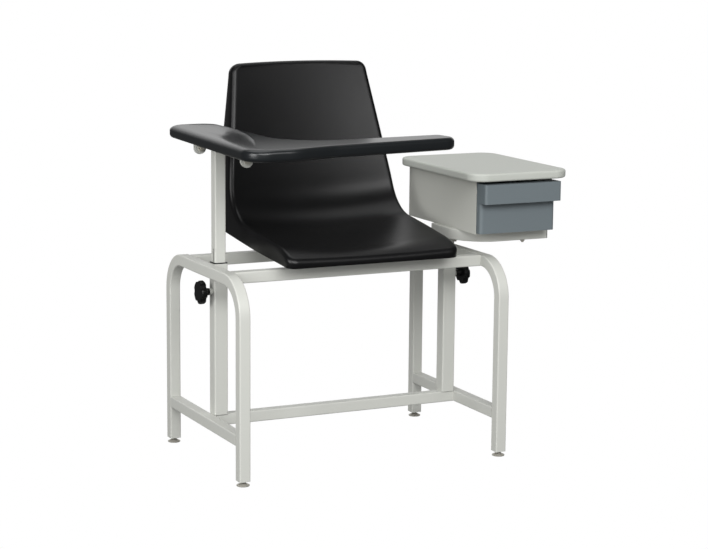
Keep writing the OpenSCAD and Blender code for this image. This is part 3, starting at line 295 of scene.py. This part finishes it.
def makeSeatShell(z):
    line = seatLine(z)
    top = line["top"]

    def at(name, s):
        return np.interp(s, line["s"], line[name])

    def along(angle):
        return np.stack([np.cos(np.radians(angle)), np.sin(np.radians(angle))], -1)

    def away(angle):
        return np.stack([np.sin(np.radians(angle)), -np.cos(np.radians(angle))], -1)

    # rows along the line, closer together in the rounded corners, and shares across it
    bend = z["corner"] * (1 - np.cos(np.linspace(0, np.pi / 2, z["cornerSteps"])))
    s = np.concatenate([bend, np.linspace(z["corner"], top - z["corner"], z["rows"])[1:-1],
                        top - bend[::-1]])
    a = np.linspace(-1, 1, z["columns"])
    rows, columns = len(s), len(a)
    end = np.minimum(s, top - s).clip(0, z["corner"])
    loss = z["corner"] - np.sqrt(z["corner"] ** 2 - (z["corner"] - end) ** 2)
    crown = 1 - a * a
    # the sheet laid flat: x across, and s along, arched at the top edge
    flatX = (at("half", s) - z["fold"] - loss)[:, None] * a
    flatS = s[:, None] + z["topArch"] * crown * (s / top)[:, None] ** z["archPower"]
    sink = at("dish", s)[:, None] * crown
    slope = at("slope", flatS)
    edge = np.stack([at("y", flatS), at("z", flatS)], -1)

    def sheet(depth):
        yz = edge + (sink + depth)[..., None] * away(slope)
        return np.concatenate([(flatX + at("middle", s)[:, None])[..., None], yz], -1).reshape(-1, 3)

    # round the border: the way out of the flat sheet, the folded edge and the skirt down to the rim
    loop = borderOf(rows, columns)
    bx, bs = flatX.ravel()[loop], flatS.ravel()[loop]
    step = np.stack([np.roll(bx, -1) - np.roll(bx, 1), np.roll(bs, -1) - np.roll(bs, 1)], -1)
    step /= np.linalg.norm(step, axis=1)[:, None]
    out = np.stack([step[:, 1], -step[:, 0]], -1)
    base = edge.reshape(-1, 2)[loop] + sink.ravel()[loop][:, None] * away(at("slope", bs))
    forward, down = along(at("slope", bs)), away(at("skirt", bs))

    def folded(r, turn):
        reach, fall = r * math.sin(turn), z["fold"] - r + r * (1 - math.cos(turn))
        yz = base + fall * down + (reach * out[:, 1])[:, None] * forward
        return np.concatenate([(bx + reach * out[:, 0] + at("middle", bs))[:, None], yz], -1)

    def cross(u, v):
        return u[..., 0] * v[..., 1] - u[..., 1] * v[..., 0]

    def rim(r, short):
        p = folded(r, math.pi / 2)
        lines = (((-halfDepth + tubeHalf + z["frontSetback"], frameTop + z["rimRise"]), z["rimSlope"]),
                 ((halfDepth - z["rimBackSetback"], frameTop + z["rimBackRise"]), z["rimBackSlope"]),
                 ((halfDepth + z["rimTopSetback"], frameTop + z["rimTopRise"]), z["rimTopSlope"]))
        # down to the nearest of three straight lines; one that lies behind counts as far away
        ways = []
        for point, angle in lines:
            way = cross(np.array(point) - p[:, 1:], along(angle)) / cross(down, along(angle))
            ways.append(np.where(way > 0, way, top))
        p[:, 1:] += (np.min(ways, axis=0) - short)[:, None] * down
        return p

    inner = z["fold"] - z["wall"]
    turns = np.linspace(0, math.pi / 2, z["foldSteps"] + 1)[1:]
    rings = [folded(z["fold"], t) for t in turns]
    rings += [rim(z["fold"] - inset, short) for inset, short in z["rimRound"]]
    rings += [rim(inner + inset, short) for inset, short in z["rimRound"][::-1]]
    rings += [folded(inner, t) for t in turns[::-1]]
    points = np.concatenate([sheet(0), sheet(z["wall"]), *rings])
    count, size = rows * columns, len(loop)
    faces = gridFaces(rows, columns)
    around = np.concatenate([loop, 2 * count + np.arange(len(rings) * size), count + loop])
    sides = around[gridFaces(len(rings) + 2, size, closed=True)]
    allFaces = np.concatenate([faces, count + faces[:, ::-1], sides[:, ::-1]]).tolist()
    # four bosses under the seat for its bolts, in their places in the frame
    low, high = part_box("seat_bars")
    bossSides = z["bossSides"]
    boltLow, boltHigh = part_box("seat_bolts")
    turn = np.linspace(0, 2 * np.pi, bossSides, endpoint=False)
    circle = np.stack([np.cos(turn), np.sin(turn)], -1) * z["bossWidth"] / 2
    shift = (boltHigh.x - boltLow.x) / mm / 2 - z["bossX"]
    for x in (-z["bossX"], z["bossX"]):
        for y in (boltLow.y / mm + shift, boltHigh.y / mm - shift):
            y -= chairOrigin[1] / mm
            start = np.interp(y, line["y"], line["s"])
            crown = 1 - (x / np.interp(start, line["s"], line["half"])) ** 2
            sink = np.interp(start, line["s"], line["dish"]) * crown + z["wall"] / 2
            roof = np.interp(start, line["s"], line["z"]) - sink - z["bossWidth"] / 2 * math.sin(
                math.radians(z["seatSlope"]))
            first = len(points)
            tube = [np.column_stack([circle + (x, y), np.full(bossSides, h)]) for h in (high.z / mm, roof)]
            points = np.concatenate([points, *tube])
            allFaces += (first + gridFaces(2, bossSides, closed=True)).tolist()
            allFaces += [list(range(first + bossSides - 1, first - 1, -1)),
                         list(range(first + bossSides, first + 2 * bossSides))]
    addPiece("seatShell", points, allFaces, "shellPlastic", "frame", ["seat_shell"])


makeSeatShell(seatSizes)


def roundedOutline(corners, radii, steps):
    # an anticlockwise outline whose corners are arcs of the given radii, and where each arc's middle is
    corners = np.asarray(corners, float)
    outline, middles = [], []
    for corner, before, after, r in zip(corners, np.roll(corners, 1, 0), np.roll(corners, -1, 0), radii):
        u, v = before - corner, after - corner
        u, v = u / np.linalg.norm(u), v / np.linalg.norm(v)
        half = math.acos(np.clip(u @ v, -1, 1)) / 2
        centre = corner + (u + v) / np.linalg.norm(u + v) * r / math.sin(half)
        p, q = corner + u * r / math.tan(half) - centre, corner + v * r / math.tan(half) - centre
        start = math.atan2(p[1], p[0])
        turn = (math.atan2(q[1], q[0]) - start + math.pi) % (2 * math.pi) - math.pi
        angle = start + turn * np.linspace(0, 1, steps + 1)
        middles.append(len(outline) + steps // 2)
        outline += list(centre + r * np.stack([np.cos(angle), np.sin(angle)], -1))
    return np.array(outline), middles


def evenly(points, count):
    # count points at even steps along an open line
    way = np.concatenate([[0], np.cumsum(np.linalg.norm(np.diff(points, axis=0), axis=1))])
    at = np.linspace(0, way[-1], count)
    return np.stack([np.interp(at, way, points[:, 0]), np.interp(at, way, points[:, 1])], -1)


def insetLoop(loop, inset):
    # a closed anticlockwise line moved inwards along its normals
    step = np.roll(loop, -1, 0) - np.roll(loop, 1, 0)
    step /= np.linalg.norm(step, axis=1)[:, None]
    return loop + inset * np.stack([-step[:, 1], step[:, 0]], -1)


# arm pad, mm, from the middle of its post: an L whose long leg lies over the post
padSizes = {"pastPost": 43, "beforePost": 76, "pastLeg": 6, "ahead": 138, "flare": 30, "frontFlat": 40,
            "bendX": 137, "bendY": 30, "tip": 169, "tipRise": 74, "tipBack": 14, "tipLean": 12,
            "crossGap": 12, "radii": (42, 48, 120, 120, 34, 18, 110, 42),
            "topRoll": 10, "outerRoll": 18, "lowRoll": 9, "outerFrom": -290, "outerBlend": 45,
            "proudTop": 1.2, "proudLow": 1.6, "cornerSteps": 40, "rollSteps": 8,
            "alongRear": 120, "alongFront": 120, "across": 61,
            "sampleFrom": -360, "sampleTo": 230, "sampleStep": 2.0, "smoothing": 20,
            "troughDepth": 5.5, "troughY": (214, 166, 61, -52, -170, -245, -300),
            "crestX": (-311, -313, -319, -325, -331, -334, -338),
            "deepX": (-256, -256, -258, -268, -288, -308, -327),
            "shoulderX": (-204, -210, -219, -238, -272, -302, -322),
            "depthShares": (0.1, 0.6, 1, 1, 0.9, 0.4, 0)}


def makeArmPad(z):
    low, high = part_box("arm_pad")
    bottom, top = low.z / mm - z["proudLow"], high.z / mm + z["proudTop"]
    left, inner = postX + z["pastPost"], postX - z["beforePost"]
    half = halfDepth - tubeHalf
    rear, front, crossBack = half + z["pastLeg"], half + z["ahead"], half + z["crossGap"]
    corners = [(-left, rear), (-left - z["flare"], -front), (-postX + z["frontFlat"], -front),
               (-postX + z["bendX"], z["bendY"] - front), (z["tip"], z["tipRise"] - front),
               (z["tip"] - z["tipLean"], z["tipBack"] - half), (-inner, -crossBack), (-inner, rear)]
    outline, middles = roundedOutline(corners, z["radii"], z["cornerSteps"])
    outline = np.roll(outline, -middles[0], 0)
    cuts = [(m - middles[0]) % len(outline) for m in middles]
    outline = np.concatenate([outline, outline[:1]])
    rear1, front1, across = z["alongRear"], z["alongFront"], z["across"]
    # four sides with matching steps: outer, tip, inner and rear, split where the L bends
    outer = [evenly(outline[:cuts[1] + 1], rear1), evenly(outline[cuts[1]:cuts[4] + 1], front1)[1:]]
    tip = evenly(outline[cuts[4]:cuts[5] + 1], across)
    back = [evenly(outline[cuts[5]:cuts[6] + 1], front1), evenly(outline[cuts[6]:cuts[7] + 1], rear1)[1:]]
    rearEdge = evenly(outline[cuts[7]:], across)
    outer, back = np.concatenate(outer), np.concatenate(back)
    loop = np.concatenate([outer[:-1], tip[:-1], back[:-1], rearEdge[:-1]])
    rows = len(outer)

    def patch(edge):
        # a grid over the outline: the usual blend of its four sides, less that of its four corners
        a, b, c = rows - 1, rows - 1 + across - 1, 2 * (rows - 1) + across - 1
        side0, side1 = edge[:a + 1], edge[b:c + 1][::-1]
        end1, end0 = edge[a:b + 1], np.concatenate([edge[c:], edge[:1]])[::-1]
        u, v = np.linspace(0, 1, rows)[:, None, None], np.linspace(0, 1, across)[None, :, None]
        sides = (1 - v) * side0[:, None] + v * side1[:, None]
        ends = (1 - u) * end0[None] + u * end1[None]
        corners4 = (1 - u) * ((1 - v) * side0[0] + v * side1[0]) + u * ((1 - v) * side0[-1] + v * side1[-1])
        return (sides + ends - corners4).reshape(-1, 2)

    def troughAt(p):
        # forearm trough: down from a crest at the outer edge to its deepest line as half a cosine wave,
        # and up to the inner shoulder with the cube of the way, so that the shoulder is a clear edge
        order = np.argsort(z["troughY"])
        knots = np.array(z["troughY"])[order]

        def at(name):
            samples = np.arange(z["sampleFrom"], z["sampleTo"], z["sampleStep"])
            fine = smoothed(np.interp(samples, knots, np.array(z[name])[order]), z["smoothing"])
            return np.interp(p[:, 1], samples, fine)
        crest, deep, shoulder = at("crestX"), at("deepX"), at("shoulderX")
        fall = ((p[:, 0] - crest) / (deep - crest)).clip(0, 1)
        rise = ((p[:, 0] - deep) / (shoulder - deep)).clip(0, 1)
        return z["troughDepth"] * at("depthShares") * (1 - np.cos(np.pi * fall)) / 2 * (1 - rise ** 3)

    turns = np.linspace(0, math.pi / 2, z["rollSteps"] + 1)
    # the top's rolled edge is wider along the outer side
    outerShare = ((z["outerFrom"] - loop[:, 0]) / z["outerBlend"]).clip(0, 1)
    wider = (z["outerRoll"] - z["topRoll"]) * outerShare ** 2 * (3 - 2 * outerShare)
    rollWidth = (z["topRoll"] + wider)[:, None]
    topGrid = patch(insetLoop(loop, rollWidth))
    lowGrid = patch(insetLoop(loop, z["lowRoll"]))
    rings = [(rollWidth * (1 - math.sin(t)), top - z["topRoll"] * (1 - math.cos(t))) for t in turns[1:]]
    rings += [(z["lowRoll"] * (1 - math.sin(t)), bottom + z["lowRoll"] * (1 - math.cos(t)))
              for t in turns[:0:-1]]
    ringPoints = [np.column_stack([insetLoop(loop, inset), np.full(len(loop), h)]) for inset, h in rings]
    points = np.concatenate([np.column_stack([topGrid, top - troughAt(topGrid)]),
                             np.column_stack([lowGrid, np.full(len(lowGrid), bottom)]), *ringPoints])
    count, size = rows * across, len(loop)
    faces = gridFaces(rows, across)
    # the grid's border in the outline's order: outer side, tip, inner side, rear
    border = np.concatenate([across * np.arange(rows), across * (rows - 1) + np.arange(1, across),
                             across * np.arange(rows - 2, -1, -1) + across - 1,
                             np.arange(across - 2, 0, -1)])
    around = np.concatenate([border, 2 * count + np.arange(len(rings) * size), count + border])
    sides = around[gridFaces(len(rings) + 2, size, closed=True)]
    allFaces = np.concatenate([faces[:, ::-1], count + faces, sides[:, ::-1]]).tolist()
    pad = addPiece("armPad", points, allFaces, "padSkin", "arm", ["arm_pad"])


makeArmPad(padSizes)

# cabinet top, mm
topSizes = {"corner": 40, "rearReach": 6, "topRoll": 5, "lowRoll": 5, "steps": 40, "rollSteps": 8,
            "support": 2}


def makeCabinetTop(z):
    low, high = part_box("cabinet_top")
    low, high = (np.array(low) - chairOrigin) / mm, (np.array(high) - chairOrigin) / mm
    rear = high[1] + z["rearReach"]
    corners = [(low[0], low[1]), (high[0], low[1]), (high[0], rear), (low[0], rear)]
    loop = roundedOutline(corners, [z["corner"]] * 4, z["steps"])[0]
    turns = np.linspace(0, math.pi / 2, z["rollSteps"] + 1)
    rings = [(z["topRoll"] + z["support"], high[2])]
    rings += [(z["topRoll"] * (1 - math.sin(t)), high[2] - z["topRoll"] * (1 - math.cos(t))) for t in turns]
    rings += [(z["lowRoll"] * (1 - math.sin(t)), low[2] + z["lowRoll"] * (1 - math.cos(t)))
              for t in turns[::-1]]
    rings += [(z["lowRoll"] + z["support"], low[2])]
    points = np.concatenate([np.column_stack([insetLoop(loop, inset), np.full(len(loop), h)])
                             for inset, h in rings])
    size, last = len(loop), (len(rings) - 1) * len(loop)
    faces = gridFaces(len(rings), size, closed=True)[:, ::-1].tolist()
    faces += [list(range(size)), list(range(last + size - 1, last - 1, -1))]
    addPiece("cabinetTop", points, faces, "topPlastic", "cabinet", ["cabinet_top"])


makeCabinetTop(topSizes)

# camera fitted to the photo: place and farthest sight in metres, angles in radians, lens and sensor in mm
cameraSettings = {"place": (-2.06232, -4.14479, 1.21902), "azimuth": -0.450514, "pitch": 0.172838,
                  "roll": 0.008649, "lens": 105.41, "sensor": 36.0, "farthest": 50.0}


def makeCamera(settings):
    data = bpy.data.cameras.new("camera")
    data.sensor_width = settings["sensor"]
    data.lens = settings["lens"]
    data.clip_end = settings["farthest"]
    camera = bpy.data.objects.new("camera", data)
    bpy.context.scene.collection.objects.link(camera)
    ca, sa = math.cos(settings["azimuth"]), math.sin(settings["azimuth"])
    cp, sp = math.cos(settings["pitch"]), math.sin(settings["pitch"])
    right, ahead = Vector((ca, sa, 0)), Vector((-sa, ca, 0))
    forward = ahead * cp - Vector((0, 0, sp))
    up = ahead * sp + Vector((0, 0, cp))
    cr, sr = math.cos(settings["roll"]), math.sin(settings["roll"])
    x, y = right * cr + up * sr, up * cr - right * sr
    turn = Matrix((x, y, -forward)).transposed()
    camera.matrix_world = Matrix.Translation(Vector(settings["place"])) @ turn.to_4x4()
    bpy.context.scene.camera = camera


makeCamera(cameraSettings)

# surroundings: a dim room and soft lamps round the chair. The camera sees plain white all round, while
# the pieces mirror white only behind the chair, from about the floor's line up to a soft edge. There is
# no floor. Lamp places and sizes in metres, power in watts
lightSettings = {"room": 0.08, "backdropSide": (0.45, 0.89, 0.0), "backdropFrom": 0.74, "backdropTo": 0.93,
                 "edgeFrom": 0.56, "edgeTo": 0.26, "floorFrom": -0.06, "floorTo": 0.16,
                 "backdropShare": 1.0, "mattShare": 0.27,
                 "lamps": {"front": ((-1.3, -3.1, 2.2), (2.8, 1.7), 88.0),
                           "right": ((0.4, -3.3, 2.3), (1.6, 1.0), 31.0),
                           "left": ((-3.1, -1.3, 1.35), (1.6, 1.6), 58.0),
                           "top": ((0.0, 0.6, 3.4), (2.6, 2.6), 28.0),
                           "rear": ((0.7, 2.6, 2.6), (1.8, 1.2), 3.0)}}


def addLamp(name, place, size, power, target=(0, 0, 0.5)):
    data = bpy.data.lights.new(name, "AREA")
    data.shape, data.energy = "RECTANGLE", power
    data.size, data.size_y = size
    lamp = bpy.data.objects.new(name, data)
    bpy.context.scene.collection.objects.link(lamp)
    lamp.location = place
    lamp.rotation_euler = (Vector(target) - lamp.location).to_track_quat("-Z", "Y").to_euler()


def makeLight(settings):
    world = bpy.data.worlds.new("studio")
    bpy.context.scene.world = world
    world.use_nodes = True
    tree = world.node_tree
    tree.nodes.clear()

    def calculate(operation, first, second):
        node = addNode(tree, "ShaderNodeMath", {"operation": operation})
        tree.links.new(first, node.inputs[0])
        tree.links.new(second, node.inputs[1])
        return node.outputs["Value"]
    path = addNode(tree, "ShaderNodeLightPath").outputs
    direction = addNode(tree, "ShaderNodeTexCoord").outputs["Generated"]
    side = addNode(tree, "ShaderNodeVectorMath", {"operation": "DOT_PRODUCT"}, {1: settings["backdropSide"]},
                   {0: direction}).outputs["Value"]
    height = addNode(tree, "ShaderNodeSeparateXYZ", links={"Vector": direction}).outputs["Z"]

    def ramp(socket, start, end, top):
        node = addNode(tree, "ShaderNodeMapRange", {"interpolation_type": "SMOOTHSTEP"},
                       {"From Min": start, "From Max": end, "To Max": top}, {"Value": socket})
        return node.outputs["Result"]
    share = calculate("MULTIPLY", ramp(side, settings["backdropFrom"], settings["backdropTo"], 1.0),
                      ramp(height, settings["edgeFrom"], settings["edgeTo"], settings["backdropShare"]))
    share = calculate("MULTIPLY", share, ramp(height, settings["floorFrom"], settings["floorTo"], 1.0))
    mirrored = calculate("MAXIMUM", path["Is Glossy Ray"], path["Is Transmission Ray"])
    # matt surfaces gather the backdrop's light from all round alike
    matt = addNode(tree, "ShaderNodeMath", {"operation": "MULTIPLY"}, {1: settings["mattShare"]},
                   {0: path["Is Diffuse Ray"]}).outputs["Value"]
    gathered = calculate("MAXIMUM", calculate("MULTIPLY", mirrored, share), matt)
    seen = calculate("MAXIMUM", path["Is Camera Ray"], gathered)
    room = addNode(tree, "ShaderNodeBackground", values={"Color": (1, 1, 1, 1), "Strength": settings["room"]})
    backdrop = addNode(tree, "ShaderNodeBackground", values={"Color": (1, 1, 1, 1), "Strength": 1.0})
    mix = addNode(tree, "ShaderNodeMixShader", links={"Fac": seen})
    tree.links.new(room.outputs["Background"], mix.inputs[1])
    tree.links.new(backdrop.outputs["Background"], mix.inputs[2])
    out = addNode(tree, "ShaderNodeOutputWorld")
    tree.links.new(mix.outputs["Shader"], out.inputs["Surface"])
    for name, (place, size, power) in settings["lamps"].items():
        addLamp(name, place, size, power)


makeLight(lightSettings)
bpy.context.scene.view_settings.view_transform = "Standard"
print("stage: camera and light set")
